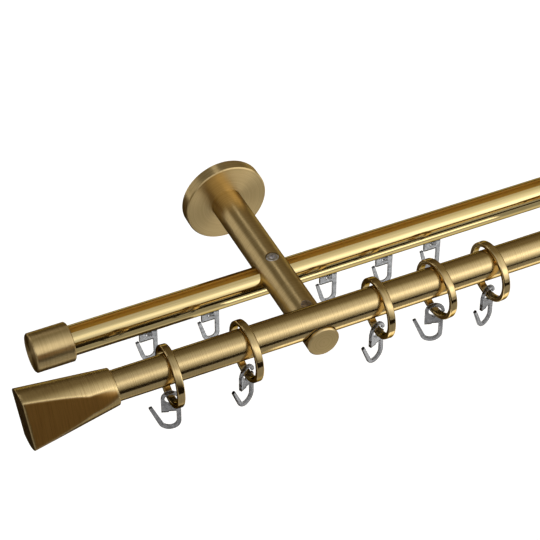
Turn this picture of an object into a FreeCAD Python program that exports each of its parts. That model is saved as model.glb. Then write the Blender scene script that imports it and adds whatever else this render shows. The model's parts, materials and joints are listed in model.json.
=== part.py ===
"""Double curtain pole on one bracket: a 20 mm tube with rings in front, a grooved rail with gliders behind it.

Millimetres, +Z up. The wall is the plane y = 0, the poles run along X and the bracket arm lies on the Y axis.
"""
import math
import os

import FreeCAD
import Part

# Front pole: a plain tube.
POLE_DIA = 20.0
POLE_WALL = 1.2
POLE_OUT = 144.2          # wall to the tube's axis
POLE_RISE = 8.0           # arm axis up to the tube's axis

# Rear rail: a round profile with a T-groove on top and a glider channel below.
RAIL_DIA = 19.8
RAIL_OUT = 81.2
RAIL_DROP = 7.5           # arm axis down to the rail's axis

# Bracket.
ARM_DIA = 21.5
ARM_NOSE = 12.6           # arm in front of the tube's axis
DISC_DIA = 57.6
DISC_THICK = 9.0
BOLT_DIA = 8.0            # hanger bolt that the arm screws onto
BOLT_DEPTH = 25.0
LINER = 0.6

# Lengths along X from the arm's axis.
LEFT_NECK = 135.4         # mouth of the left finial
RIGHT_NECK = 206.0
CAP_INSET = 5.2           # mouth of the end cap past the mouth of the finial
FINIAL_LONG = 58.0
CAP_LONG = 25.8

# Rings, gliders and hooks.
RING_DIA = 40.8
RING_THICK = 3.2
RING_WIDE = 5.0
RING_AT = (-98.6, -47.3, 44.3, 86.3, 125.4)
RING_YAW = (-2.3, 1.3, -0.5, 5.4, 3.4)
RING_HOOK_YAW = (-20.0, 26.0, 21.0, -20.0, 24.0)
GLIDER_AT = (-87.6, -44.2, 40.9, 82.5, 118.8)
PLAY = 0.2                # clearance of the parts that move
FIT = 0.3                 # clearance of screws and nut in their holes
BREAK = 0.5               # broken edges of small parts
TURNED_EDGE = 0.7         # broken edges of the disc and the caps
FAR = 60.0                # reach of a cutter past the part

X = FreeCAD.Vector(1, 0, 0)
Y = FreeCAD.Vector(0, 1, 0)
Z = FreeCAD.Vector(0, 0, 1)

pole_r = POLE_DIA / 2
rail_r = RAIL_DIA / 2
arm_r = ARM_DIA / 2
pole_y = -POLE_OUT
rail_y = -RAIL_OUT
rail_z = -RAIL_DROP
arm_end = pole_y - ARM_NOSE
left_cap = LEFT_NECK + CAP_INSET
right_cap = RIGHT_NECK + CAP_INSET


def vec(x, y, z):
    return FreeCAD.Vector(x, y, z)


def rod(radius, start, end):
    """Round bar between two points."""
    line = end - start
    return Part.makeCylinder(radius, line.Length, start, line)


def block(x0, x1, y0, y1, z0, z1):
    """Box between its limits."""
    return Part.makeBox(x1 - x0, y1 - y0, z1 - z0, vec(x0, y0, z0))


def hexagon(across, start, end):
    """Hexagonal bar across its flats between two points."""
    line = end - start
    turn = FreeCAD.Rotation(Z, line)
    corners = []
    for k in range(7):
        a = math.radians(60 * k)
        r = across / math.sqrt(3)
        corners.append(start + turn.multVec(vec(r * math.cos(a), r * math.sin(a), 0)))
    return Part.Face(Part.makePolygon(corners)).extrude(line)


def chamfer_rims(shape, size, centres):
    """Breaks the circular rims that have their centres at the given points."""
    rims = []
    for edge in shape.Edges:
        if isinstance(edge.Curve, Part.Circle):
            if any(edge.Curve.Center.distanceToPoint(c) < 0.01 for c in centres):
                rims.append(edge)
    return shape.makeChamfer(size, rims)


def save(name, shape):
    """Writes one node."""
    shape.removeSplitter().exportStep("parts/" + name + ".step")


os.makedirs("parts", exist_ok=True)

# Front pole: the tube reaches into both finials.
FINIAL_BORE = 14.0
pole_left = -LEFT_NECK - FINIAL_BORE
pole_right = RIGHT_NECK + FINIAL_BORE
pole_axis_left = vec(pole_left, pole_y, POLE_RISE)
pole_axis_right = vec(pole_right, pole_y, POLE_RISE)
pole = rod(pole_r, pole_axis_left, pole_axis_right)
pole = pole.cut(rod(pole_r - POLE_WALL, pole_axis_left - X, pole_axis_right + X))
save("front_pole", pole)

# Rear rail: one extruded profile with the T-groove, a closed chamber and the glider channel.
CAP_BORE = 20.0
groove_mouth = 0.303 * RAIL_DIA
groove_wide = 0.475 * RAIL_DIA
groove_top = 0.384 * RAIL_DIA      # heights from the rail's axis
groove_floor = 0.263 * RAIL_DIA
chamber_top = 0.202 * RAIL_DIA
chamber_floor = -0.045 * RAIL_DIA
channel_top = -0.111 * RAIL_DIA
channel_floor = -0.384 * RAIL_DIA
channel_wide = 0.505 * RAIL_DIA
slot_wide = 0.202 * RAIL_DIA
rail_wall = 0.07 * RAIL_DIA
rail_left = -left_cap - CAP_BORE
rail_right = right_cap + CAP_BORE
rail = rod(rail_r, vec(rail_left, rail_y, rail_z), vec(rail_right, rail_y, rail_z))


def trough(wide, low, high):
    """Straight pocket along the rail, with heights from the rail's axis."""
    half = wide / 2
    return block(rail_left - FAR, rail_right + FAR, rail_y - half, rail_y + half, rail_z + low, rail_z + high)


chamber = rod(rail_r - rail_wall, vec(rail_left - FAR, rail_y, rail_z), vec(rail_right + FAR, rail_y, rail_z))
chamber = chamber.common(trough(RAIL_DIA, chamber_floor, chamber_top))
rail = rail.cut(chamber)
rail = rail.cut(trough(groove_wide, groove_floor, groove_top))
rail = rail.cut(trough(groove_mouth, groove_floor, FAR))
rail = rail.cut(trough(channel_wide, channel_floor, channel_top))
rail = rail.cut(trough(slot_wide, -FAR, channel_top))
save("rear_rail", rail)

# Wall disc: a turned plate that the arm clamps to the wall.
disc = rod(DISC_DIA / 2, vec(0, 0, 0), vec(0, -DISC_THICK, 0))
disc = chamfer_rims(disc, TURNED_EDGE, [vec(0, 0, 0), vec(0, -DISC_THICK, 0)])
disc = disc.cut(rod(BOLT_DIA / 2 + PLAY, vec(0, FAR, 0), vec(0, -FAR, 0)))
save("wall_disc", disc)

# Bracket arm: a round bar with a saddle for the pole, a notch for the rail and a thread for the wall bolt.
SCREW_DIA = 5.0
HEAD_DIA = 8.4
HEAD_HIGH = 4.0
HEAD_SUNK = 0.6           # screw head below the arm's top
HEAD_KEY = 4.0
KEY_DEPTH = 2.4
THREAD = 0.6              # depth of the wall bolt's thread
ARM_EDGE = 0.8
saddle_r = pole_r + LINER
head_top = arm_r - HEAD_SUNK
head_seat = head_top - HEAD_HIGH
arm = rod(arm_r, vec(0, -DISC_THICK, 0), vec(0, arm_end, 0))
arm = chamfer_rims(arm, ARM_EDGE, [vec(0, arm_end, 0)])
arm_bar = arm.copy()
arm = arm.cut(rod(rail_r, vec(-FAR, rail_y, rail_z), vec(FAR, rail_y, rail_z)))
arm = arm.cut(block(-FAR, FAR, rail_y - rail_r, rail_y + rail_r, -FAR, rail_z))
arm = arm.cut(rod(HEAD_DIA / 2 + FIT, vec(0, rail_y, head_seat), vec(0, rail_y, FAR)))
arm = arm.cut(rod(SCREW_DIA / 2 + FIT, vec(0, rail_y, -FAR), vec(0, rail_y, FAR)))
arm = arm.cut(rod(SCREW_DIA / 2, vec(0, pole_y, -FAR), vec(0, pole_y, POLE_RISE)))
arm = arm.cut(rod(BOLT_DIA / 2 - THREAD, vec(0, 0, 0), vec(0, -DISC_THICK - BOLT_DEPTH, 0)))


def cradle(radius, half_long):
    """Round-bottomed slot across the arm, open upward, for a tube of the given radius."""
    bottom = rod(radius, vec(-half_long, pole_y, POLE_RISE), vec(half_long, pole_y, POLE_RISE))
    return bottom.fuse(block(-half_long, half_long, pole_y - radius, pole_y + radius, POLE_RISE, FAR))


arm = arm.cut(cradle(saddle_r, FAR))
save("bracket_arm", arm)

# Rail screw and its nut: the nut hangs in the T-groove and draws the rail up into the notch.
NUT_THICK = 2.0
NUT_LONG = 12.0
nut_top = rail_z + groove_top
nut_low = nut_top - NUT_THICK
screw = rod(HEAD_DIA / 2, vec(0, rail_y, head_seat), vec(0, rail_y, head_top))
screw = chamfer_rims(screw, BREAK, [vec(0, rail_y, head_top)])
screw = screw.fuse(rod(SCREW_DIA / 2, vec(0, rail_y, head_seat), vec(0, rail_y, nut_low)))
screw = screw.cut(hexagon(HEAD_KEY, vec(0, rail_y, head_top - KEY_DEPTH), vec(0, rail_y, FAR)))
save("rail_screw", screw)
nut_half = groove_wide / 2 - FIT
nut = block(-NUT_LONG / 2, NUT_LONG / 2, rail_y - nut_half, rail_y + nut_half, nut_low, nut_top)
nut = nut.cut(rod(SCREW_DIA / 2, vec(0, rail_y, -FAR), vec(0, rail_y, FAR)))
save("slot_nut", nut)

# Saddle liner: a moulded half shell between arm and pole, with a tab that lies on the arm behind the pole.
TAB_HALF = 3.5
TAB_REACH = 16.5
TAB_THICK = 0.7
LINER_HALF = 7.5          # half its length along the pole
liner = cradle(saddle_r, LINER_HALF).common(arm_bar)
tab_low = rod(arm_r, vec(0, pole_y, 0), vec(0, pole_y + FAR, 0))
tab = rod(arm_r + TAB_THICK, vec(0, pole_y, 0), vec(0, pole_y + FAR, 0)).cut(tab_low)
tab_end = pole_y + TAB_REACH - TAB_HALF
tab_plan = block(-TAB_HALF, TAB_HALF, pole_y, tab_end, 0, FAR)
tab_plan = tab_plan.fuse(rod(TAB_HALF, vec(0, tab_end, 0), vec(0, tab_end, FAR)))
liner = liner.fuse(tab.common(tab_plan))
liner = liner.cut(cradle(pole_r, FAR))
liner = liner.cut(rod(SCREW_DIA / 2, vec(0, pole_y, -FAR), vec(0, pole_y, POLE_RISE)))
save("saddle_liner", liner)

# Pole screw: a grub screw from under the arm against the tube.
GRUB_SUNK = 1.2           # screw end above the arm's underside
GRUB_KEY = 2.5
pole_low = POLE_RISE - pole_r
grub_low = GRUB_SUNK - arm_r
grub = rod(SCREW_DIA / 2, vec(0, pole_y, grub_low), vec(0, pole_y, pole_low))
grub = grub.cut(cradle(pole_r, FAR))
grub = grub.cut(hexagon(GRUB_KEY, vec(0, pole_y, -FAR), vec(0, pole_y, grub_low + KEY_DEPTH)))
save("pole_screw", grub)

# Finials: flared cones that lean down a little, with a milled flat in front and one behind, bored for the tube.
NECK_WALL = 2.0           # metal round the tube at the mouth
FLARE_R = 19.9
FLAT_START = 13.6         # distance of a flat from the axis at its tip
FLAT_TIP = 11.4           # tip of the flat behind the mouth
FLAT_END = 11.7           # distance of a flat from the axis at the end face
FLAT_ANGLES = (20.0, 200.0)
LEAN = 3.4                # flare against the tube, in degrees
GRUB_DIA = 4.0
SMALL_KEY = 2.0
KEY_FLOOR = 0.8           # metal left under a small key socket
neck_r = pole_r + NECK_WALL


def finial(side, neck):
    """Finial with its mouth at x = side * neck, flaring outward."""
    mouth = vec(side * neck, pole_y, POLE_RISE)
    out = X * side
    body = Part.makeCone(neck_r, FLARE_R, FINIAL_LONG, mouth, out)
    body = chamfer_rims(body, BREAK, [mouth, mouth + out * FINIAL_LONG])
    fall = (FLAT_START - FLAT_END) / (FINIAL_LONG - FLAT_TIP)
    for angle in FLAT_ANGLES:
        a = math.radians(angle)
        away = vec(0, -math.cos(a), math.sin(a))
        normal = away + out * fall
        wedge = block(-FAR, FAR, -FAR, FAR, 0, FAR)
        start = mouth + out * FLAT_TIP + away * FLAT_START
        wedge.Placement = FreeCAD.Placement(start, FreeCAD.Rotation(Z, normal)).multiply(wedge.Placement)
        body = body.cut(wedge)
    body.rotate(mouth, Y, side * LEAN)
    body = body.cut(rod(pole_r, mouth - out * FAR, mouth + out * FINIAL_BORE))
    grub_at = mouth + out * FINIAL_BORE / 2
    low = vec(0, math.sqrt(0.5), -math.sqrt(0.5))
    body = body.cut(rod(GRUB_DIA / 2, grub_at, grub_at + low * FAR))
    screw = rod(GRUB_DIA / 2, grub_at, grub_at + low * (neck_r + HEAD_SUNK))
    screw = screw.cut(rod(pole_r, mouth, mouth + out * FINIAL_BORE))
    screw = screw.cut(hexagon(SMALL_KEY, grub_at + low * (pole_r + KEY_FLOOR), grub_at + low * FAR))
    return body, screw


for name, side, neck in (("left", -1, LEFT_NECK), ("right", 1, RIGHT_NECK)):
    body, screw = finial(side, neck)
    save("finial_" + name, body)
    save("finial_screw_" + name, screw)

# End caps: turned cups over the rail's ends, each held by a small grub screw at the back.
CAP_WALL = 3.1            # metal round the rail
CAP_GRUB = 3.0
CAP_GRUB_SUNK = 0.4
CAP_KEY = 1.5
cap_r = rail_r + CAP_WALL
for name, side, mouth_x in (("left", -1, left_cap), ("right", 1, right_cap)):
    mouth = vec(side * mouth_x, rail_y, rail_z)
    out = X * side
    cap = rod(cap_r, mouth, mouth + out * CAP_LONG)
    cap = chamfer_rims(cap, TURNED_EDGE, [mouth, mouth + out * CAP_LONG])
    cap = cap.cut(rod(rail_r, mouth - out, mouth + out * CAP_BORE))
    grub_at = mouth + out * CAP_BORE / 2
    cap = cap.cut(rod(CAP_GRUB / 2, grub_at, grub_at + Y * FAR))
    save("end_cap_" + name, cap)
    screw = rod(CAP_GRUB / 2, grub_at, grub_at + Y * (cap_r - CAP_GRUB_SUNK))
    screw = screw.cut(rod(rail_r, mouth, mouth + out * CAP_BORE))
    screw = screw.cut(hexagon(CAP_KEY, grub_at + Y * (rail_r + KEY_FLOOR), grub_at + Y * FAR))
    save("cap_screw_" + name, screw)

# Hooks: a moulded plate with a loop on top and an open J below, drawn with the loop's centre at the origin.
LOOP_OUT = 6.5
LOOP_IN = 4.1
RING_HOOK_LOW = -10.8     # lower edge of the plate
RING_BEND_DROP = 8.0      # plate's lower edge down to the centre of the bend
RING_BEND = 6.0           # radius at the middle of the bend
RING_TIP_LEAN = 23.0      # lean of the tip from upright
RING_TIP_LONG = 15.8
SMALL_LOOP_OUT = 4.0
SMALL_LOOP_IN = 2.1
GLIDER_HOOK_LOW = -4.2
GLIDER_BEND_DROP = 12.0
GLIDER_BEND = 4.6
GLIDER_TIP_LEAN = 15.0
GLIDER_TIP_LONG = 14.0
HOOK_THICK = 2.4
PLATE_LEFT = -6.5
PLATE_RIGHT = 2.9
SHANK_RIGHT = 5.9
TIP_HALF = 0.8
PLATE_STEP = 0.8          # the plate's right half ends higher
SPLIT_TOP = -0.4          # split through the loop's right side
SPLIT_LOW = -2.4
PIN_R = 0.8               # small hole above the plate's edge
PIN_RIGHT = 1.5
PIN_UP = 2.2


def point(u, v):
    return vec(u, -HOOK_THICK / 2, v)


def hook_shape(loop_out, loop_in, plate_low, bend_drop, bend_r, tip_lean, tip_long):
    """One hook in the XZ plane."""
    bend_z = plate_low - bend_drop
    half = (SHANK_RIGHT - PLATE_RIGHT) / 2
    bend_out = bend_r + half
    bend_in = bend_r - half

    def bend(angle, radius):
        a = math.radians(angle)
        return point(SHANK_RIGHT - bend_out + radius * math.cos(a), bend_z + radius * math.sin(a))

    turn = tip_lean - 180
    lean = math.radians(tip_lean)
    along = vec(-math.sin(lean), 0, math.cos(lean))
    across = vec(-math.cos(lean), 0, -math.sin(lean))
    tip = bend(turn, bend_r) + along * tip_long
    tip_out = tip + across * TIP_HALF
    tip_in = tip - across * TIP_HALF
    edges = [
        Part.LineSegment(point(SHANK_RIGHT, 0), point(SHANK_RIGHT, bend_z)).toShape(),
        Part.Arc(bend(0, bend_out), bend(turn / 2, bend_out), bend(turn, bend_out)).toShape(),
        Part.LineSegment(bend(turn, bend_out), tip_out).toShape(),
        Part.Arc(tip_out, tip + along * TIP_HALF, tip_in).toShape(),
        Part.LineSegment(tip_in, bend(turn, bend_in)).toShape(),
        Part.Arc(bend(turn, bend_in), bend(turn / 2, bend_in), bend(0, bend_in)).toShape(),
        Part.LineSegment(point(PLATE_RIGHT, bend_z), point(PLATE_RIGHT, 0)).toShape(),
        Part.LineSegment(point(PLATE_RIGHT, 0), point(SHANK_RIGHT, 0)).toShape(),
    ]
    depth = Y * HOOK_THICK
    hook = Part.Face(Part.Wire(edges)).extrude(depth)
    step = (PLATE_LEFT + PLATE_RIGHT) / 2
    plate = Part.makePolygon([point(PLATE_LEFT, 0), point(PLATE_LEFT, plate_low), point(step, plate_low),
                              point(step, plate_low + PLATE_STEP), point(PLATE_RIGHT, plate_low + PLATE_STEP),
                              point(PLATE_RIGHT, 0), point(PLATE_LEFT, 0)])
    hook = hook.fuse(Part.Face(plate).extrude(depth))
    hook = hook.fuse(rod(loop_out, point(0, 0), point(0, 0) + depth))
    return hook.cut(rod(loop_in, point(0, 0) - Y, point(0, 0) + depth + Y))


ring_hook = hook_shape(LOOP_OUT, LOOP_IN, RING_HOOK_LOW, RING_BEND_DROP, RING_BEND, RING_TIP_LEAN, RING_TIP_LONG)
ring_hook = ring_hook.cut(block(LOOP_IN - BREAK, FAR, -FAR, FAR, SPLIT_LOW, SPLIT_TOP))
pin = point(PIN_RIGHT, RING_HOOK_LOW + PIN_UP)
ring_hook = ring_hook.cut(rod(PIN_R, pin - Y, pin + Y * FAR))

# Rings: flat bands that hang on the pole, each with a hook round its lowest point.
ring_r = RING_DIA / 2
ring_in = ring_r - RING_THICK
ring_z = POLE_RISE + pole_r - ring_in + PLAY
half_wide = RING_WIDE / 2
for k, x in enumerate(RING_AT):
    section = [(-half_wide, ring_in + BREAK), (-half_wide + BREAK, ring_in), (half_wide - BREAK, ring_in),
               (half_wide, ring_in + BREAK), (half_wide, ring_r - BREAK), (half_wide - BREAK, ring_r),
               (-half_wide + BREAK, ring_r), (-half_wide, ring_r - BREAK), (-half_wide, ring_in + BREAK)]
    outline = Part.makePolygon([vec(x + a, pole_y, ring_z + b) for a, b in section])
    ring = Part.Face(outline).revolve(vec(x, pole_y, ring_z), X, 360)
    ring.rotate(vec(x, pole_y, ring_z), Z, RING_YAW[k])
    save("ring_%d" % (k + 1), ring)
    yaw = math.radians(RING_HOOK_YAW[k] - RING_YAW[k])
    reach = (half_wide + HOOK_THICK / 2 * abs(math.sin(yaw))) / math.cos(yaw)
    hang = math.sqrt(LOOP_IN ** 2 - reach ** 2) - PLAY
    hook = ring_hook.copy()
    hook.rotate(vec(0, 0, 0), Z, RING_HOOK_YAW[k])
    hook.translate(vec(x, pole_y, ring_z - ring_in - hang))
    save("ring_hook_%d" % (k + 1), hook)

# Gliders: a runner in the rail's channel, a neck through the slot and an eye below it for the hook.
RUNNER_LONG = 9.0
RUNNER_HIGH = 2.4
EYE_OUT = 3.0
EYE_IN = 1.8
EYE_WIDE = 2.4
SHOULDER = 2.2            # top of the glider hook's plate above its loop's centre
glider_hook = hook_shape(SMALL_LOOP_OUT, SMALL_LOOP_IN, GLIDER_HOOK_LOW, GLIDER_BEND_DROP, GLIDER_BEND,
                         GLIDER_TIP_LEAN, GLIDER_TIP_LONG)
shoulder = block(PLATE_LEFT, SHANK_RIGHT, -HOOK_THICK / 2, HOOK_THICK / 2, 0, SHOULDER)
glider_hook = glider_hook.fuse(shoulder.cut(rod(SMALL_LOOP_IN, point(0, 0) - Y, point(0, 0) + Y * FAR)))
runner_half = channel_wide / 2 - 2 * PLAY
neck_half = slot_wide / 2 - 2 * PLAY
floor_z = rail_z + channel_floor
eye_z = rail_z - rail_r - EYE_OUT
for k, x in enumerate(GLIDER_AT):
    low = floor_z + PLAY / 2
    glider = block(x - RUNNER_LONG / 2, x + RUNNER_LONG / 2, rail_y - runner_half, rail_y + runner_half, low,
                   low + RUNNER_HIGH)
    glider = glider.fuse(block(x - EYE_OUT, x + EYE_OUT, rail_y - neck_half, rail_y + neck_half, eye_z + EYE_OUT,
                               low + RUNNER_HIGH))
    glider = glider.fuse(block(x - EYE_WIDE / 2, x + EYE_WIDE / 2, rail_y - neck_half, rail_y + neck_half, eye_z,
                               low + RUNNER_HIGH))
    glider = glider.fuse(rod(EYE_OUT, vec(x - EYE_WIDE / 2, rail_y, eye_z), vec(x + EYE_WIDE / 2, rail_y, eye_z)))
    glider = glider.cut(rod(EYE_IN, vec(x - FAR, rail_y, eye_z), vec(x + FAR, rail_y, eye_z)))
    save("glider_%d" % (k + 1), glider)
    hang = math.sqrt(SMALL_LOOP_IN ** 2 - (EYE_WIDE / 2) ** 2) - PLAY
    seat = math.sqrt(EYE_IN ** 2 - (HOOK_THICK / 2) ** 2)
    hook = glider_hook.copy()
    hook.translate(vec(x, rail_y, eye_z - seat - hang))
    save("glider_hook_%d" % (k + 1), hook)
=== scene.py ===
"""Double curtain pole in satin brass: one bracket carries a ringed tube in front and a glider rail behind."""
import json
import math

import bmesh
import bpy
from mathutils import Matrix, Vector


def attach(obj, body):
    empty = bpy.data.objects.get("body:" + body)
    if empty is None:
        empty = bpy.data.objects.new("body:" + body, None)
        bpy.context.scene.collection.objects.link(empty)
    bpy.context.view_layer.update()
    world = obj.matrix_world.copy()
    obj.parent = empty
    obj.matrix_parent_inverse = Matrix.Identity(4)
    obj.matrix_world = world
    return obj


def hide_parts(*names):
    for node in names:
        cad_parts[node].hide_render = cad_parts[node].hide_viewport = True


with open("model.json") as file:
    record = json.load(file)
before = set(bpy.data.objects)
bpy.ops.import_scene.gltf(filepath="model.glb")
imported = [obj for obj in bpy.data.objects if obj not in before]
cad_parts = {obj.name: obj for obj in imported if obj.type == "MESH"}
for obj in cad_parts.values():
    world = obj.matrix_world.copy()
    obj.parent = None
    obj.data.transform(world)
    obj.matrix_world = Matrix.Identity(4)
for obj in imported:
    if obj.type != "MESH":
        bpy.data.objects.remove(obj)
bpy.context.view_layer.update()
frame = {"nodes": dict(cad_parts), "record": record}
nodes = frame["nodes"]
MM = 0.001

# Wall disc: a turned brass plate with a broken edge, faced on a lathe and clamped to the wall by the arm.
# Its satin finish is many fine grooves in circles, which spread the light into fans across the face.
SATIN_LIGHT = (0.66, 0.50, 0.25, 1.0)
SATIN_DARK = (0.48, 0.34, 0.15, 1.0)
EDGE_DARK = (0.10, 0.08, 0.07, 1.0)
BRUSH_DEPTH = 0.1 * MM
FAN_SPREAD = 0.8
QUARTER_TURN = 0.25
UNIT = (0.0, 1.0)


def new_material(name):
    """A material, its node tree and its shader."""
    mat = bpy.data.materials.new(name)
    mat.use_nodes = True
    return mat, mat.node_tree, mat.node_tree.nodes["Principled BSDF"]


def feed(tree, node, inputs):
    """Fills a node's inputs: a socket is linked, and anything else is set as a constant."""
    for name, value in inputs.items():
        if isinstance(value, bpy.types.NodeSocket):
            tree.links.new(value, node.inputs[name])
        else:
            node.inputs[name].default_value = value


def added(tree, kind, inputs):
    """A new node with its inputs filled."""
    node = tree.nodes.new(kind)
    feed(tree, node, inputs)
    return node


def object_place(tree):
    """Each point's place on the object."""
    return tree.nodes.new("ShaderNodeTexCoord").outputs["Object"]


def noise(tree, inputs):
    """A noise pattern's value."""
    return added(tree, "ShaderNodeTexNoise", inputs).outputs["Fac"]


def vector_maths(tree, operation, inputs):
    """The outputs of one operation on vectors."""
    node = tree.nodes.new("ShaderNodeVectorMath")
    node.operation = operation
    feed(tree, node, inputs)
    return node.outputs


def ramp(tree, value, *stops):
    """Colours a value between two stops, each a position and a colour."""
    node = added(tree, "ShaderNodeValToRGB", {"Fac": value})
    for element, (position, colour) in zip(node.color_ramp.elements, stops):
        element.position = position
        element.color = colour
    return node.outputs["Color"]


def spread(tree, value, source, target):
    """Maps one range of a value onto another."""
    return added(tree, "ShaderNodeMapRange", {
        "Value": value,
        "From Min": source[0],
        "From Max": source[1],
        "To Min": target[0],
        "To Max": target[1],
    }).outputs["Result"]


def satin_brass(name, lines_from, roughness, depth):
    """Brushed and lacquered brass; lines_from(tree, place) gives the vector of its brush lines."""
    mat, tree, shader = new_material(name)
    place = object_place(tree)
    lines = noise(tree, {"Vector": lines_from(tree, place), "Scale": 1.0, "Detail": 4.0, "Roughness": 0.7})
    cloud = noise(tree, {"Vector": place, "Scale": 60.0})
    bump = added(tree, "ShaderNodeBump", {"Height": lines, "Strength": depth, "Distance": BRUSH_DEPTH})
    feed(tree, shader, {
        "Base Color": ramp(tree, lines, (0.25, SATIN_DARK), (0.55, SATIN_LIGHT)),
        "Metallic": 1.0,
        "Roughness": spread(tree, cloud, (0.3, 0.7), roughness),
        "Specular Tint": EDGE_DARK,
        "Normal": bump.outputs["Normal"],
    })
    return mat


def turned_lines(axis, centre, scale):
    """Lathe lines: rings round an axis through centre on a face, and hoops along the axis on a side."""
    def lines_from(tree, place):
        shift = added(tree, "ShaderNodeMapping", {"Vector": place, "Location": [-c for c in centre]})
        split = added(tree, "ShaderNodeSeparateXYZ", {"Vector": shift.outputs["Vector"]}).outputs
        flat = added(tree, "ShaderNodeCombineXYZ", {name: split[name] for name in "XYZ" if name != axis})
        radius = vector_maths(tree, "LENGTH", {0: flat.outputs["Vector"]})["Value"]
        both = added(tree, "ShaderNodeCombineXYZ", {"X": radius, "Y": split[axis]})
        return vector_maths(tree, "SCALE", {0: both.outputs["Vector"], "Scale": scale})["Vector"]
    return lines_from


def fanned(mat, axis):
    """Draws the gloss out across lathe lines, so that a face shows fans of light round its axis."""
    tree = mat.node_tree
    round_axis = tree.nodes.new("ShaderNodeTangent")
    round_axis.direction_type = "RADIAL"
    round_axis.axis = axis
    feed(tree, tree.nodes["Principled BSDF"], {
        "Anisotropic": FAN_SPREAD,
        "Anisotropic Rotation": QUARTER_TURN,
        "Tangent": round_axis.outputs["Tangent"],
    })
    return mat


def dress(material, *names):
    """Gives a finish to nodes whose solid shape is already right."""
    for node in names:
        nodes[node].data.materials.clear()
        nodes[node].data.materials.append(material)


disc_lines = turned_lines("Y", centre=(0, 0, 0), scale=2200.0)
disc_brass = satin_brass("satin_brass_faced", disc_lines, roughness=(0.30, 0.36), depth=0.3)
dress(fanned(disc_brass, "Y"), "wall_disc")

# Bracket arm: a round brass bar, brushed round its girth, milled for both poles.
# It screws onto a bolt in the wall and so presses the disc against it.
arm_lines = turned_lines("Y", centre=(0, 0, 0), scale=1600.0)
arm_brass = satin_brass("satin_brass_turned", arm_lines, roughness=(0.30, 0.36), depth=0.2)
dress(arm_brass, "bracket_arm")

# Saddle liner and pole screw: a thin moulded liner keeps the tube off the arm.
# A zinc-plated grub screw from below holds the tube in the saddle.
LINER_SMOKE = (0.66, 0.60, 0.56)
FLOW_DARK = 0.7
FLOW_LIGHT = 1.5
PLASTIC_IOR = 1.49
ZINC_LIGHT = (0.66, 0.63, 0.62, 1.0)
ZINC_DARK = (0.44, 0.42, 0.41, 1.0)


def clear_moulding(name, smoke_and_shade, roughness):
    """Moulded clear plastic, tinted through its thickness, with flow marks in its gloss. For the ring hooks
    the tint is a painted shade.
    """
    mat, tree, shader = new_material(name)
    flow = noise(tree, {"Vector": object_place(tree), "Scale": 320.0, "Detail": 3.0, "Distortion": 1.2})
    dark = [c * FLOW_DARK for c in smoke_and_shade] + [1.0]
    light = [min(1.0, c * FLOW_LIGHT) for c in smoke_and_shade] + [1.0]
    feed(tree, shader, {
        "Base Color": ramp(tree, flow, (0.36, dark), (0.66, light)),
        "Roughness": spread(tree, flow, UNIT, roughness),
        "IOR": PLASTIC_IOR,
        "Transmission Weight": 1.0,
    })
    return mat


def zinc_plate():
    """Bright zinc over steel, slightly mottled."""
    mat, tree, shader = new_material("zinc_plate")
    mottle = noise(tree, {"Vector": object_place(tree), "Scale": 700.0})
    feed(tree, shader, {
        "Base Color": ramp(tree, mottle, (0.35, ZINC_DARK), (0.6, ZINC_LIGHT)),
        "Metallic": 1.0,
        "Roughness": 0.34,
    })
    return mat


zinc = zinc_plate()
dress(clear_moulding("liner_plastic", LINER_SMOKE, roughness=(0.30, 0.45)), "saddle_liner")
dress(zinc, "pole_screw")

# Front pole: a drawn brass tube, brushed round its girth, so the light lies along it in soft bands.
# It lies in the arm's saddle and ends inside the finials.
POLE_Y = -144.2 * MM
POLE_Z = 8.0 * MM
POLE_R = 10.0 * MM
pole_lines = turned_lines("X", centre=(0, POLE_Y, POLE_Z), scale=1600.0)
pole_brass = satin_brass("satin_brass_tube", pole_lines, roughness=(0.15, 0.20), depth=0.2)
dress(pole_brass, "front_pole")

# Rear rail: an extruded profile with a groove on top, polished along its length and lacquered.
# The arm holds it from above by a nut in the groove.
GOLD_LIGHT = (0.79, 0.63, 0.32, 1.0)
GOLD_DARK = (0.71, 0.55, 0.25, 1.0)
GOLD_ROUGH = (0.05, 0.11)
# Painted shade: the inside of the groove is coloured dark brown and made dull, where the recess lies in
# shade.
GROOVE_SHADE_BROWN = (0.55, 0.29, 0.04, 1.0)
GROOVE_ROUGH = 0.7
RAIL_Y = -81.2 * MM
RAIL_Z = -7.5 * MM
GROOVE_DEEP = 9.1 * MM
GROOVE_RIM = 9.5 * MM


def maths(tree, operation, *values):
    """The result of one operation on values."""
    node = tree.nodes.new("ShaderNodeMath")
    node.operation = operation
    feed(tree, node, dict(enumerate(values)))
    return node.outputs["Value"]


def mixed(tree, kind, factor, first, second, blend="MIX"):
    """Goes from a first value or colour to a second one by a factor."""
    node = tree.nodes.new("ShaderNodeMix")
    node.data_type = kind
    node.blend_type = blend
    feed(tree, node, {"Factor": factor, "A": first, "B": second})
    return node.outputs["Result"]


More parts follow.
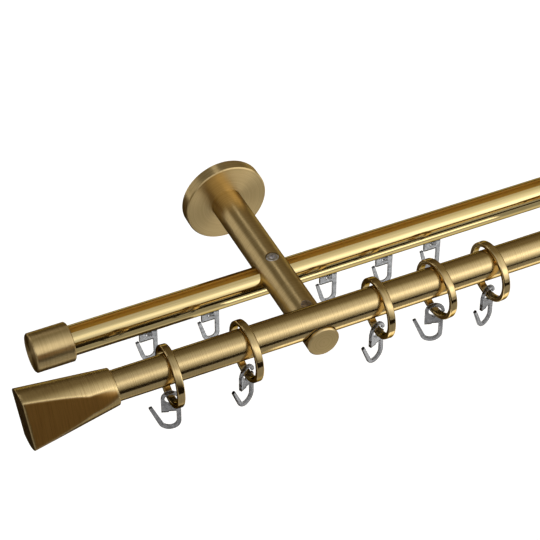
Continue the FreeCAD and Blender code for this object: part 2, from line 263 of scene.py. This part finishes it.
def polished_brass():
    """Polished brass with faint lines along the rail, with painted shade inside the groove: brown, dull and
    not metal there.
    """
    mat, tree, shader = new_material("polished_brass")
    place = object_place(tree)
    stretch = added(tree, "ShaderNodeMapping", {"Vector": place, "Scale": (25.0, 1200.0, 1200.0)})
    lines = noise(tree, {"Vector": stretch.outputs["Vector"], "Scale": 1.0})
    across = added(tree, "ShaderNodeMapping",
                   {"Vector": place, "Location": (0, -RAIL_Y, -RAIL_Z), "Scale": (0, 1, 1)})
    radius = vector_maths(tree, "LENGTH", {0: across.outputs["Vector"]})["Value"]
    inside = spread(tree, radius, (GROOVE_DEEP, GROOVE_RIM), (1.0, 0.0))
    gold = ramp(tree, lines, (0.3, GOLD_DARK), (0.7, GOLD_LIGHT))
    gloss = spread(tree, lines, UNIT, GOLD_ROUGH)
    feed(tree, shader, {
        "Base Color": mixed(tree, "RGBA", inside, gold, GROOVE_SHADE_BROWN),
        "Metallic": maths(tree, "SUBTRACT", 1.0, inside),
        "Roughness": mixed(tree, "FLOAT", inside, gloss, GROOVE_ROUGH),
        "Specular Tint": EDGE_DARK,
    })
    return mat


dress(polished_brass(), "rear_rail")

# Rail screw and slot nut: zinc-plated steel, a socket screw in the counterbore of the arm.
# The nut slides in the rail's groove.
dress(zinc, "rail_screw", "slot_nut")

# Finials: flared brass cones that lean down a little, each with a milled flat in front and one behind.
# The edges are eased by hand, the mouth is bored for the tube, and a grub screw at the back holds it.
FINIALS = (("left", -1, 135.4 * MM), ("right", 1, 206.0 * MM))
NECK_R = 12.0 * MM
FLARE_R = 19.9 * MM
FINIAL_LONG = 58.0 * MM
FINIAL_BORE = 14.0 * MM
FLAT_START = 13.6 * MM
FLAT_TIP = 11.4 * MM
FLAT_END = 11.7 * MM
FLAT_ANGLES = (20.0, 200.0)
FINIAL_LEAN = 3.4
FINIAL_EDGE = 0.5 * MM
FLAT_SOFT = 2.4 * MM
FLAT_FACING = (0.965, 0.999)
SOFT_SAMPLES = 12
CONE_STEPS = 160
EDGE_STEPS = 4
SHARP = math.radians(24)
GRUB_R = 2.0 * MM
GRUB_STEPS = 32
GRUB_TOWARD = Vector((0, math.sqrt(0.5), -math.sqrt(0.5)))
# Painted shade: the milled flats are tinted a darker brown, where they reflect the room's dark band.
FLAT_SHADE_BROWN = (0.82, 0.55, 0.26, 1.0)
FLAT_ROUGH = 0.38
ALONG_LINES = 40.0


def linked(name, data):
    """A new object in the scene."""
    obj = bpy.data.objects.new(name, data)
    bpy.context.scene.collection.objects.link(obj)
    return obj


def made_mesh(bm, name):
    """Closes a bmesh off as a smooth mesh."""
    mesh = bpy.data.meshes.new(name)
    bm.to_mesh(mesh)
    bm.free()
    mesh.shade_smooth()
    return mesh


def baked(obj):
    """The mesh that an object's modifiers make of it, in place of the object."""
    mesh = bpy.data.meshes.new_from_object(obj.evaluated_get(bpy.context.evaluated_depsgraph_get()))
    bpy.data.objects.remove(obj)
    return mesh


def placed(mesh, name, material, body, slot, *stands_for):
    """Adds a finished piece to the object."""
    mesh.materials.append(material)
    piece = linked(name, mesh)
    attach(piece, body)
    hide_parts(*stands_for)
    return piece


def even_normals(piece):
    """Lets the broad faces keep their own shading beside narrow rounded edges."""
    weigh = piece.modifiers.new("even", "WEIGHTED_NORMAL")
    weigh.keep_sharp = True


def turn(bm, degrees, axis, verts):
    """Turns corners about an axis through the origin."""
    bmesh.ops.rotate(bm, matrix=Matrix.Rotation(math.radians(degrees), 3, axis), verts=verts)


def push(bm, face, move):
    """Extrudes a face by a move and returns the new one."""
    made = bmesh.ops.extrude_face_region(bm, geom=[face])["geom"]
    bmesh.ops.translate(bm, vec=move, verts=[v for v in made if isinstance(v, bmesh.types.BMVert)])
    return next(f for f in made if isinstance(f, bmesh.types.BMFace))


def eased(bm, geom, affect, offset, steps, clamp=False):
    """Rounds edges or corners and returns what the bevel made."""
    return bmesh.ops.bevel(bm, geom=geom, affect=affect, offset=offset, offset_type="OFFSET", segments=steps,
                           profile=0.5, material=-1, clamp_overlap=clamp)


def flat_way(degrees):
    """The way a flat looks before the finial leans."""
    angle = math.radians(degrees)
    return Vector((0, -math.cos(angle), math.sin(angle)))


def finial_mesh(side, mouth_x):
    """Cone along +X from its mouth, with rounded rims, bored, milled and leaned."""
    bm = bmesh.new()
    bmesh.ops.create_cone(bm, cap_ends=True, segments=CONE_STEPS, radius1=NECK_R, radius2=FLARE_R,
                          depth=FINIAL_LONG)
    bmesh.ops.translate(bm, vec=(0, 0, FINIAL_LONG / 2), verts=bm.verts)
    turn(bm, 90.0, "Y", bm.verts)
    rims = [e for f in bm.faces if len(f.verts) == CONE_STEPS for e in f.edges]
    eased(bm, rims, "EDGES", FINIAL_EDGE, EDGE_STEPS)
    mouth = min(bm.faces, key=lambda f: f.calc_center_median().x)
    bmesh.ops.inset_individual(bm, faces=[mouth], thickness=NECK_R - FINIAL_EDGE - POLE_R)
    push(bm, mouth, (FINIAL_BORE, 0, 0))
    bmesh.ops.delete(bm, geom=[mouth], context="FACES_ONLY")
    fall = (FLAT_START - FLAT_END) / (FINIAL_LONG - FLAT_TIP)
    for degrees in FLAT_ANGLES:
        away = flat_way(degrees)
        tip = Vector((FLAT_TIP, 0, 0)) + away * FLAT_START
        cut = bmesh.ops.bisect_plane(bm, geom=bm.verts[:] + bm.edges[:] + bm.faces[:], plane_co=tip,
                                     plane_no=away + Vector((fall, 0, 0)), clear_outer=True)
        rim = [e for e in cut["geom_cut"] if isinstance(e, bmesh.types.BMEdge)]
        bmesh.ops.contextual_create(bm, geom=rim)
    turn(bm, FINIAL_LEAN, "Y", bm.verts)
    if side < 0:
        bmesh.ops.scale(bm, vec=(-1, 1, 1), verts=bm.verts)
    bmesh.ops.translate(bm, vec=(side * mouth_x, POLE_Y, POLE_Z), verts=bm.verts)
    bmesh.ops.recalc_face_normals(bm, faces=bm.faces)
    return made_mesh(bm, "finial")


def drilled(mesh, at, toward):
    """The mesh with a hole for the grub screw from the surface to the bore."""
    bm = bmesh.new()
    bmesh.ops.create_cone(bm, cap_ends=True, segments=GRUB_STEPS, radius1=GRUB_R, radius2=GRUB_R,
                          depth=FLARE_R)
    aim = Vector((0, 0, 1)).rotation_difference(toward).to_matrix()
    bmesh.ops.rotate(bm, matrix=aim, verts=bm.verts)
    bmesh.ops.translate(bm, vec=at + toward * (POLE_R + FLARE_R / 2 - GRUB_R / 2), verts=bm.verts)
    drill = linked("drill", made_mesh(bm, "drill"))
    blank = linked("blank", mesh)
    hole = blank.modifiers.new("hole", "BOOLEAN")
    hole.operation = "DIFFERENCE"
    hole.solver = "EXACT"
    hole.object = drill
    done = baked(blank)
    bpy.data.objects.remove(drill)
    done.materials.clear()
    done.set_sharp_from_angle(angle=SHARP)
    return done


def paint_flat_shade(mat, toward):
    """Paints shade on the flats that look along a direction, to both sides: browner and duller, with eased
    rims.
    """
    tree = mat.node_tree
    shader = tree.nodes["Principled BSDF"]
    soft = added(tree, "ShaderNodeBevel", {"Radius": FLAT_SOFT})
    soft.samples = SOFT_SAMPLES
    normal = soft.outputs["Normal"]
    feed(tree, tree.nodes["Bump"], {"Normal": normal})
    facing = vector_maths(tree, "DOT_PRODUCT", {0: normal, 1: toward})["Value"]
    flat = spread(tree, maths(tree, "ABSOLUTE", facing), FLAT_FACING, UNIT)
    bright = shader.inputs["Base Color"].links[0].from_socket
    gloss = shader.inputs["Roughness"].links[0].from_socket
    feed(tree, shader, {
        "Base Color": mixed(tree, "RGBA", flat, bright, FLAT_SHADE_BROWN, "MULTIPLY"),
        "Roughness": mixed(tree, "FLOAT", flat, gloss, FLAT_ROUGH),
    })


def across_lines(scale):
    """Straight brush lines across X."""
    def lines_from(tree, place):
        scales = (scale, ALONG_LINES, ALONG_LINES)
        return added(tree, "ShaderNodeMapping", {"Vector": place, "Scale": scales}).outputs["Vector"]
    return lines_from


finial_brass = satin_brass("satin_brass_finial", across_lines(1600.0), roughness=(0.22, 0.28), depth=0.12)
# Painted shade on the finial's flats, front and back.
paint_flat_shade(finial_brass, flat_way(FLAT_ANGLES[0]))
for name, side, mouth_x in FINIALS:
    grub_at = Vector((side * (mouth_x + FINIAL_BORE / 2), POLE_Y, POLE_Z))
    shape = drilled(finial_mesh(side, mouth_x), grub_at, GRUB_TOWARD)
    finial = placed(shape, "finial_%s_milled" % name, finial_brass, "frame", "satin_brass", "finial_" + name)
    even_normals(finial)
dress(zinc, "finial_screw_left", "finial_screw_right")

# End caps: turned brass cups pushed over the rail's ends, with lathe rings on the end face.
# A small grub screw at the back holds each of them.
cap_lines = turned_lines("X", centre=(0, RAIL_Y, RAIL_Z), scale=1800.0)
cap_brass = satin_brass("satin_brass_cap", cap_lines, roughness=(0.36, 0.42), depth=0.15)
dress(fanned(cap_brass, "X"), "end_cap_left", "end_cap_right")
dress(zinc, "cap_screw_left", "cap_screw_right")

# Rings: flat brass bands with rounded edges that hang loose on the pole and slide along it.
# They are bent from drawn strip and polished a little brighter than the tube.
RING_R = 20.4 * MM
RING_THICK = 3.2 * MM
RING_HALF = 2.5 * MM
RING_ROUND = 0.9 * MM
RING_PLAY = 0.2 * MM
RING_STEPS = 128
RING_Z = POLE_Z + POLE_R - (RING_R - RING_THICK) + RING_PLAY
RING_AT = (-98.6, -47.3, 44.3, 86.3, 125.4)
RING_YAW = (-2.3, 1.3, -0.5, 5.4, 3.4)
WELD = 0.001 * MM


def sheet(bm, half_x, half_y):
    """One flat face round the origin, square to Z. Returns its corners."""
    verts = bmesh.ops.create_grid(bm, x_segments=1, y_segments=1, size=1.0)["verts"]
    bmesh.ops.scale(bm, vec=(half_x, half_y, 1), verts=verts)
    return verts


def ring_mesh(x, yaw):
    """A strip's rounded section, spun round the ring's axis."""
    bm = bmesh.new()
    corners = sheet(bm, RING_HALF, RING_THICK / 2)
    eased(bm, corners, "VERTICES", RING_ROUND, EDGE_STEPS)
    bmesh.ops.translate(bm, vec=(0, RING_R - RING_THICK / 2, 0), verts=bm.verts)
    bmesh.ops.delete(bm, geom=bm.faces[:], context="FACES_ONLY")
    bmesh.ops.spin(bm, geom=bm.verts[:] + bm.edges[:], cent=(0, 0, 0), axis=(1, 0, 0), angle=2 * math.pi,
                   steps=RING_STEPS, use_merge=True)
    bmesh.ops.remove_doubles(bm, verts=bm.verts, dist=WELD)
    turn(bm, yaw, "Z", bm.verts)
    bmesh.ops.translate(bm, vec=(x, POLE_Y, RING_Z), verts=bm.verts)
    bmesh.ops.recalc_face_normals(bm, faces=bm.faces)
    return made_mesh(bm, "ring")


ring_brass = satin_brass("satin_brass_ring", across_lines(1500.0), roughness=(0.08, 0.13), depth=0.06)
for k, (x, yaw) in enumerate(zip(RING_AT, RING_YAW), 1):
    name = "ring_%d" % k
    ring = placed(ring_mesh(x * MM, yaw), name + "_band", ring_brass, name, "satin_brass", name)
    even_normals(ring)

# Ring hooks: clear moulded hooks, clipped round the rings through a split in the loop.
# The plate below the loop stiffens the shank, and the open J takes the curtain's heading tape.
# Painted shade: the ring hooks' dark grey tint stands in for dark surroundings seen through the clear
# plastic.
HOOK_SHADE_GREY = (0.135, 0.135, 0.14)
HOOK_THICK = 2.4 * MM
PLATE_LEFT = -6.5 * MM
PLATE_RIGHT = 2.9 * MM
SHANK_RIGHT = 5.9 * MM
PLATE_STEP = 0.8 * MM
TIP_HALF = 1.2 * MM
HOOK_ROUND = 0.7 * MM
SPLIT_FROM = 27.0
SPLIT_TO = 4.3
SHANK_TOP = -2.4 * MM
CORNER_STEPS = 3
BEND_STEPS = 18
LOOP_STEPS = 40
HOOK_GRAIN = 0.27 * MM
SOFT_SHARE = 0.5
SOFT_PASSES = 3


def section(bm, half_wide, at):
    """Flat section of the moulding, square to Z."""
    corners = sheet(bm, half_wide, HOOK_THICK / 2)
    bmesh.ops.translate(bm, vec=at, verts=corners)
    return corners[0].link_faces[0]


def rounded(bm, face):
    """Takes the corners off a section and returns its new face."""
    soft = eased(bm, list(face.verts), "VERTICES", HOOK_ROUND, CORNER_STEPS, clamp=True)
    return soft["verts"][0].link_faces[0]


def slab(bm, x0, x1, z0, z1):
    """Flat web of the moulding between its limits."""
    push(bm, section(bm, (x1 - x0) / 2, ((x0 + x1) / 2, 0, z0)), (0, 0, z1 - z0))


def swept(bm, face, centre, angle, steps):
    """Sweeps a section round an axis along Y and returns its last face."""
    made = bmesh.ops.spin(bm, geom=[face] + list(face.edges) + list(face.verts), cent=centre, axis=(0, 1, 0),
                          angle=angle, steps=steps)["geom_last"]
    return next(f for f in made if isinstance(f, bmesh.types.BMFace))


def hook_loop(bm, loop_out, loop_in, start, end):
    """Loop round the origin between two angles."""
    loop = rounded(bm, section(bm, (loop_out - loop_in) / 2, ((loop_out + loop_in) / 2, 0, 0)))
    turn(bm, start, "Y", loop.verts)
    swept(bm, loop, (0, 0, 0), math.radians(end - start), LOOP_STEPS)


def hook_j(bm, top_z, bend_z, bend_r, tip_lean, tip_long):
    """Shank, bend and tapering tip in one sweep."""
    half = (SHANK_RIGHT - PLATE_RIGHT) / 2
    shank_x = SHANK_RIGHT - half
    low = push(bm, rounded(bm, section(bm, half, (shank_x, 0, top_z))), (0, 0, bend_z - top_z))
    lean = math.radians(tip_lean)
    face = swept(bm, low, (shank_x - bend_r, 0, bend_z), math.pi - lean, BEND_STEPS)
    tip = push(bm, face, Vector((-math.sin(lean), 0, math.cos(lean))) * tip_long)
    end = tip.calc_center_median()
    bmesh.ops.scale(bm, vec=(TIP_HALF / half,) * 3, space=Matrix.Translation(-end), verts=tip.verts)


def moulded(bm, name):
    """Fuses the webs into one moulding with soft edges."""
    bmesh.ops.recalc_face_normals(bm, faces=bm.faces)
    blank = linked(name, made_mesh(bm, name))
    skin = blank.modifiers.new("skin", "REMESH")
    skin.mode = "VOXEL"
    skin.voxel_size = HOOK_GRAIN
    soft = blank.modifiers.new("soft", "SMOOTH")
    soft.factor = SOFT_SHARE
    soft.iterations = SOFT_PASSES
    done = baked(blank)
    done.shade_smooth()
    return done


def ring_hook_mesh():
    """Ring hook with its loop's centre at the origin."""
    loop_out = 6.5 * MM
    loop_in = 4.1 * MM
    plate_low = -10.8 * MM
    bend_z = plate_low - 8.0 * MM
    step = (PLATE_LEFT + PLATE_RIGHT) / 2
    bm = bmesh.new()
    hook_j(bm, SHANK_TOP, bend_z, bend_r=6.0 * MM, tip_lean=23.0, tip_long=15.8 * MM)
    hook_loop(bm, loop_out, loop_in, start=SPLIT_FROM, end=360 + SPLIT_TO)
    slab(bm, PLATE_LEFT, step, plate_low, -loop_in)
    slab(bm, step, PLATE_RIGHT, plate_low + PLATE_STEP, -loop_in)
    slab(bm, PLATE_LEFT, -loop_in, -loop_in, 0)
    return moulded(bm, "ring_hook")


swings = {j["name"]: j for j in frame["record"]["behaviour"]["joints"]}


def hung(blank, name, material, slot):
    """A copy of the hook at the joint that it swings on."""
    swing = swings[name + "_swing"]
    x, y = swing["axis"][:2]
    mesh = blank.copy()
    mesh.transform(Matrix.Translation(swing["pos_m"]) @ Matrix.Rotation(math.atan2(-x, y), 4, "Z"))
    placed(mesh, name + "_moulding", material, name, slot, name)


# The clear hooks carry a painted shade in their grey tint.
clear_plastic = clear_moulding("clear_plastic", HOOK_SHADE_GREY, roughness=(0.02, 0.08))
ring_hook = ring_hook_mesh()
for k in range(1, len(RING_AT) + 1):
    hung(ring_hook, "ring_hook_%d" % k, clear_plastic, "clear_plastic")
bpy.data.meshes.remove(ring_hook)

# Gliders and their hooks: cloudy plastic runners in the rail's channel, each with an eye below the slot.
# Their hooks have a small loop in a broad shoulder and hang close under the rail.
CLOUDY_SMOKE = (0.28, 0.285, 0.295)
GLIDERS = 5
grey_plastic = clear_moulding("grey_plastic", CLOUDY_SMOKE, roughness=(0.14, 0.26))
dress(grey_plastic, *["glider_%d" % k for k in range(1, GLIDERS + 1)])


def glider_hook_mesh():
    """Glider hook with its loop's centre at the origin."""
    loop_out = 4.0 * MM
    loop_in = 2.1 * MM
    plate_low = -4.2 * MM
    bend_z = plate_low - 12.0 * MM
    shoulder = 2.2 * MM
    bm = bmesh.new()
    hook_j(bm, shoulder, bend_z, bend_r=4.6 * MM, tip_lean=15.0, tip_long=14.0 * MM)
    hook_loop(bm, loop_out, loop_in, start=0, end=359)
    slab(bm, PLATE_LEFT, PLATE_RIGHT, plate_low, -loop_in)
    slab(bm, PLATE_LEFT, -loop_in, -loop_in, shoulder)
    slab(bm, loop_in, PLATE_RIGHT, -loop_in, shoulder)
    return moulded(bm, "glider_hook")


glider_hook = glider_hook_mesh()
for k in range(1, GLIDERS + 1):
    hung(glider_hook, "glider_hook_%d" % k, grey_plastic, "grey_plastic")
bpy.data.meshes.remove(glider_hook)

# Studio: a wide pale floor that darkens softly towards the front, in a room lit from the front and above.
# Two dark cards, seen only in reflections, give the metal its dark lines.
# Two lamps behind and a short strip below add the highlights, and the camera looks down from the left.
FLOOR_Z = -0.30
FLOOR_HALF = 6.0
FLOOR_FADE = (-0.31, -0.11)
FLOOR_GREY = (0.58, 0.58, 0.58, 1.0)
FLOOR_PALE = (0.8, 0.8, 0.8, 1.0)
FLOOR_GLOW = 0.68
WHITE = (1.0, 1.0, 1.0, 1.0)
MATT = 0.9
bm = bmesh.new()
bmesh.ops.translate(bm, vec=(0, 0, FLOOR_Z), verts=sheet(bm, FLOOR_HALF, FLOOR_HALF))
floor = linked("floor", made_mesh(bm, "floor"))
floor_mat, tree, shader = new_material("pale_floor")
split = added(tree, "ShaderNodeSeparateXYZ", {"Vector": object_place(tree)}).outputs
fade = spread(tree, split["Y"], FLOOR_FADE, UNIT)
fade.node.interpolation_type = "SMOOTHSTEP"
ray = tree.nodes.new("ShaderNodeLightPath").outputs
seen = maths(tree, "MAXIMUM", ray["Is Camera Ray"], ray["Is Glossy Ray"])
shown = maths(tree, "MAXIMUM", seen, ray["Is Transmission Ray"])
lit = maths(tree, "MULTIPLY", fade, shown)
feed(tree, shader, {
    "Base Color": ramp(tree, fade, (0.0, FLOOR_GREY), (1.0, FLOOR_PALE)),
    "Roughness": MATT,
    "Emission Color": WHITE,
    "Emission Strength": maths(tree, "MULTIPLY", lit, FLOOR_GLOW),
})
floor.data.materials.append(floor_mat)

# Each card's name, place, half width, half height, tip about X, slope about Y and colour.
CARDS = (("front_card", (0.3, -0.75, -0.28), 0.9, 0.17, 90.0, 16.4, (0.03, 0.018, 0.006, 1.0)),
         ("left_card", (-0.78, 0.50, -0.29), 0.80, 0.68, 0.0, 0.0, (0.16, 0.12, 0.07, 1.0)))


def dark_card(name, at, half_wide, half_high, tip, slope, colour):
    """A card that only reflections see."""
    bm = bmesh.new()
    corners = sheet(bm, half_wide, half_high)
    turn(bm, tip, "X", corners)
    turn(bm, slope, "Y", corners)
    bmesh.ops.translate(bm, vec=at, verts=corners)
    card = linked(name, made_mesh(bm, name))
    card.visible_camera = False
    card.visible_shadow = False
    card.visible_diffuse = False
    card.visible_transmission = False
    mat, tree, shader = new_material(name)
    feed(tree, shader, {"Base Color": colour, "Roughness": MATT})
    card.data.materials.append(mat)
    return card


[dark_card(*card) for card in CARDS]

# The room's brightness round the X axis, in degrees: 0 in front, 90 above, 180 behind and -90 below.
ROOM = ((-180, 0.12), (-150, 0.30), (-100, 0.40), (-40, 0.30), (-8, 0.06), (6, 0.43), (18, 0.75),
        (30, 1.15), (37, 1.6), (49, 1.6), (56, 1.1), (66, 0.80), (88, 0.62), (100, 0.43), (115, 0.20),
        (130, 0.16), (146, 0.17), (165, 0.10), (180, 0.12))
SKEW_ACROSS = (0.15, 0.5)
SKEW_ANGLES = (math.radians(-12.0), math.radians(15.0))
LEVEL_ACROSS = (0.20, 0.45)
LEVELS = (0.70, 1.35)
GREEN_LOSS = 0.38
GREEN_POWER = 4
BLUE_LOSS = 0.8
BLUE_POWER = 2.5


def room_colour(level):
    """The room's darker parts are warmer."""
    shade = max(0.0, 1.0 - level)
    green = level * (1 - GREEN_LOSS * shade ** GREEN_POWER)
    blue = level * (1 - BLUE_LOSS * shade ** BLUE_POWER)
    return level, green, blue, 1.0


world = bpy.data.worlds.new("studio")
bpy.context.scene.world = world
world.use_nodes = True
tree = world.node_tree
way = tree.nodes.new("ShaderNodeTexCoord").outputs["Generated"]
split = added(tree, "ShaderNodeSeparateXYZ", {"Vector": way}).outputs
front = maths(tree, "MULTIPLY", split["Y"], -1.0)
angle = maths(tree, "ARCTAN2", split["Z"], front)
skew = spread(tree, split["X"], SKEW_ACROSS, SKEW_ANGLES)
around = spread(tree, maths(tree, "ADD", skew, angle), (-math.pi, math.pi), UNIT)
tone = added(tree, "ShaderNodeValToRGB", {"Fac": around})
stops = tone.color_ramp.elements
for degrees, level in ROOM[1:-1]:
    stops.new((degrees + 180) / 360).color = room_colour(level)
stops[0].color = room_colour(ROOM[0][1])
stops[-1].color = room_colour(ROOM[-1][1])
feed(tree, tree.nodes["Background"], {
    "Color": tone.outputs["Color"],
    "Strength": spread(tree, split["X"], LEVEL_ACROSS, LEVELS),
})

# Each lamp's name, place, aim, width, height and power.
LAMPS = (("back_top_lamp", (0.03, 1.90, 2.25), (0.0, -0.08, 0.0), 0.44, 1.4, 2.0),
         ("back_left_lamp", (-2.05, 1.90, 0.85), (0.0, -0.08, 0.0), 0.80, 1.6, 3.3),
         ("low_strip", (0.11, -0.185, -0.095), (0.11, -0.144, 0.0), 0.22, 0.04, 0.045))
CAMERA_AT = (-0.4201, -0.97393, 0.8959)
CAMERA_AIM = (-0.03123, -0.1442, 0.06257)
CAMERA_LENS = 137.397
SENSOR_WIDE = 36.0
NEAREST = 0.01


def aimed(obj, at, aim):
    """Places a lamp or camera so that it looks at a point."""
    obj.location = at
    obj.rotation_euler = (Vector(aim) - Vector(at)).to_track_quat("-Z", "Y").to_euler()


for name, at, aim, wide, high, power in LAMPS:
    lamp = bpy.data.lights.new(name, "AREA")
    lamp.shape = "RECTANGLE"
    lamp.size = wide
    lamp.size_y = high
    lamp.energy = power
    aimed(linked(name, lamp), at, aim)

camera = bpy.data.cameras.new("camera")
camera.lens = CAMERA_LENS
camera.sensor_width = SENSOR_WIDE
camera.clip_start = NEAREST
camera_obj = linked("camera", camera)
aimed(camera_obj, CAMERA_AT, CAMERA_AIM)
bpy.context.scene.camera = camera_obj
bpy.context.scene.view_settings.view_transform = "Standard"
